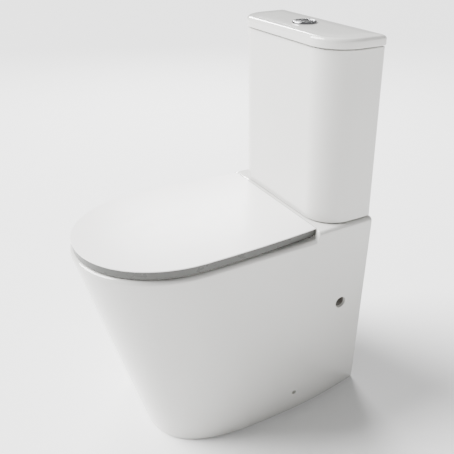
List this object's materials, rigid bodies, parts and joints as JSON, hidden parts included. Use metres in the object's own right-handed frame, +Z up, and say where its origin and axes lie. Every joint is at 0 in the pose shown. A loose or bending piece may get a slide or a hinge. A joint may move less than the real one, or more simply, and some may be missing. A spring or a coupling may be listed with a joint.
{
  "type": "close coupled toilet",
  "caption": "Close coupled toilet: skirted back-to-wall pan, slim seat and wrap-over lid, ceramic cistern with round dual flush button.",
  "frame": {"origin": "on the floor, under the centre of the object's footprint box", "axes": "+Z up, -Y towards the user (front of the bowl), +Y towards the wall behind, +X to the right for someone facing the toilet"},
  "size_m": [0.36, 0.5772, 0.8168],
  "materials": {
    "glazed_china": "clear gloss glaze over white vitreous china",
    "seat_plastic": "satin-gloss moulded white plastic",
    "chrome_plate": "polished chrome plate",
    "stainless_steel": "plain stainless steel",
    "valve_plastic": "satin moulded plastic",
    "float_plastic": "satin moulded plastic",
    "black_rubber": "matt rubber",
    "buffer_rubber": "soft translucent white rubber"
  },
  "bodies": {
    "pan_assembly": {"pan": "glazed_china", "cistern_tank": "glazed_china", "hinge_post_L": "chrome_plate", "hinge_post_R": "chrome_plate", "cistern_bolt_L": "stainless_steel", "cistern_bolt_R": "stainless_steel", "bolt_washer_L": "stainless_steel", "bolt_washer_R": "stainless_steel", "lever_pin": "stainless_steel", "float_arm_pin": "stainless_steel", "hinge_pin_L": "stainless_steel", "hinge_pin_R": "stainless_steel", "hinge_stud_L": "stainless_steel", "hinge_stud_R": "stainless_steel", "hinge_nut_L": "stainless_steel", "hinge_nut_R": "stainless_steel", "floor_screw_L": "stainless_steel", "floor_screw_R": "stainless_steel", "flush_valve_body": "valve_plastic", "flush_valve_nut": "valve_plastic", "fill_valve_body": "valve_plastic", "inlet_nut": "valve_plastic", "wing_nut_L": "valve_plastic", "wing_nut_R": "valve_plastic", "floor_block_L": "valve_plastic", "floor_block_R": "valve_plastic", "bolt_seal_L": "black_rubber", "bolt_seal_R": "black_rubber", "flush_valve_gasket": "black_rubber", "coupling_gasket": "black_rubber", "inlet_gasket": "black_rubber", "hinge_anchor_L": "black_rubber", "hinge_anchor_R": "black_rubber"},
    "seat": {"seat_ring": "seat_plastic", "seat_buffer_FL": "buffer_rubber", "seat_buffer_FR": "buffer_rubber", "seat_buffer_RL": "buffer_rubber", "seat_buffer_RR": "buffer_rubber"},
    "lid": {"seat_lid": "seat_plastic", "lid_buffer_L": "buffer_rubber", "lid_buffer_R": "buffer_rubber"},
    "cistern_cover": {"cistern_lid": "glazed_china", "button_bezel": "chrome_plate", "bezel_nut": "valve_plastic", "full_flush_spring": "stainless_steel", "half_flush_spring": "stainless_steel"},
    "full_button": {"full_flush_button": "chrome_plate"},
    "half_button": {"half_flush_button": "chrome_plate"},
    "full_lever": {"full_flush_lever": "valve_plastic"},
    "half_lever": {"half_flush_lever": "valve_plastic"},
    "flush_stem": {"flush_stem": "float_plastic", "flush_seal": "black_rubber"},
    "float": {"float_cup": "float_plastic"},
    "float_arm": {"float_arm": "valve_plastic"}
  },
  "joints": [
    {"name": "seat_hinge", "type": "hinge", "parent": "pan_assembly", "child": "seat", "pos_m": [0, 0.1469, 0.4336], "axis": [-1, 0, 0], "range_deg": [0, 91]},
    {"name": "lid_hinge", "type": "hinge", "parent": "seat", "child": "lid", "pos_m": [0, 0.1469, 0.4336], "axis": [1, 0, 0], "range_deg": [-91, 0]},
    {"name": "cistern_lid_lift", "type": "slide", "parent": "pan_assembly", "child": "cistern_cover", "axis": [0, 0, 1], "range_m": [0, 0.25]},
    {"name": "full_flush_press", "type": "slide", "parent": "cistern_cover", "child": "full_button", "axis": [0, 0, -1], "range_m": [0, 0.006], "stiffness_N_per_m": 200, "springref_m": -0.006, "deforming": ["full_flush_spring"]},
    {"name": "half_flush_press", "type": "slide", "parent": "cistern_cover", "child": "half_button", "axis": [0, 0, -1], "range_m": [0, 0.006], "stiffness_N_per_m": 200, "springref_m": -0.006, "deforming": ["half_flush_spring"]},
    {"name": "full_lever_turn", "type": "hinge", "parent": "pan_assembly", "child": "full_lever", "pos_m": [0, 0.232, 0.7088], "axis": [0, -1, 0], "range_deg": [0, 31.4]},
    {"name": "half_lever_turn", "type": "hinge", "parent": "pan_assembly", "child": "half_lever", "pos_m": [0, 0.217, 0.7088], "axis": [0, 1, 0], "range_deg": [0, 31.4]},
    {"name": "flush_stem_lift", "type": "slide", "parent": "pan_assembly", "child": "flush_stem", "axis": [0, 0, 1], "range_m": [0, 0.012]},
    {"name": "float_rise", "type": "slide", "parent": "pan_assembly", "child": "float", "axis": [0, 0, 1], "range_m": [0, 0.01]},
    {"name": "float_arm_turn", "type": "hinge", "parent": "pan_assembly", "child": "float_arm", "pos_m": [-0.0905, 0.2285, 0.6968], "axis": [0, -1, 0], "range_deg": [0, 32.1]}
  ],
  "couplings": [
    {"joint": "full_lever_turn", "follows": "full_flush_press", "rad_per_m": 91.3},
    {"joint": "flush_stem_lift", "follows": "full_flush_press", "ratio": 1.98},
    {"joint": "half_lever_turn", "follows": "half_flush_press", "rad_per_m": 91.3},
    {"joint": "float_arm_turn", "follows": "float_rise", "rad_per_m": 56}
  ]
}
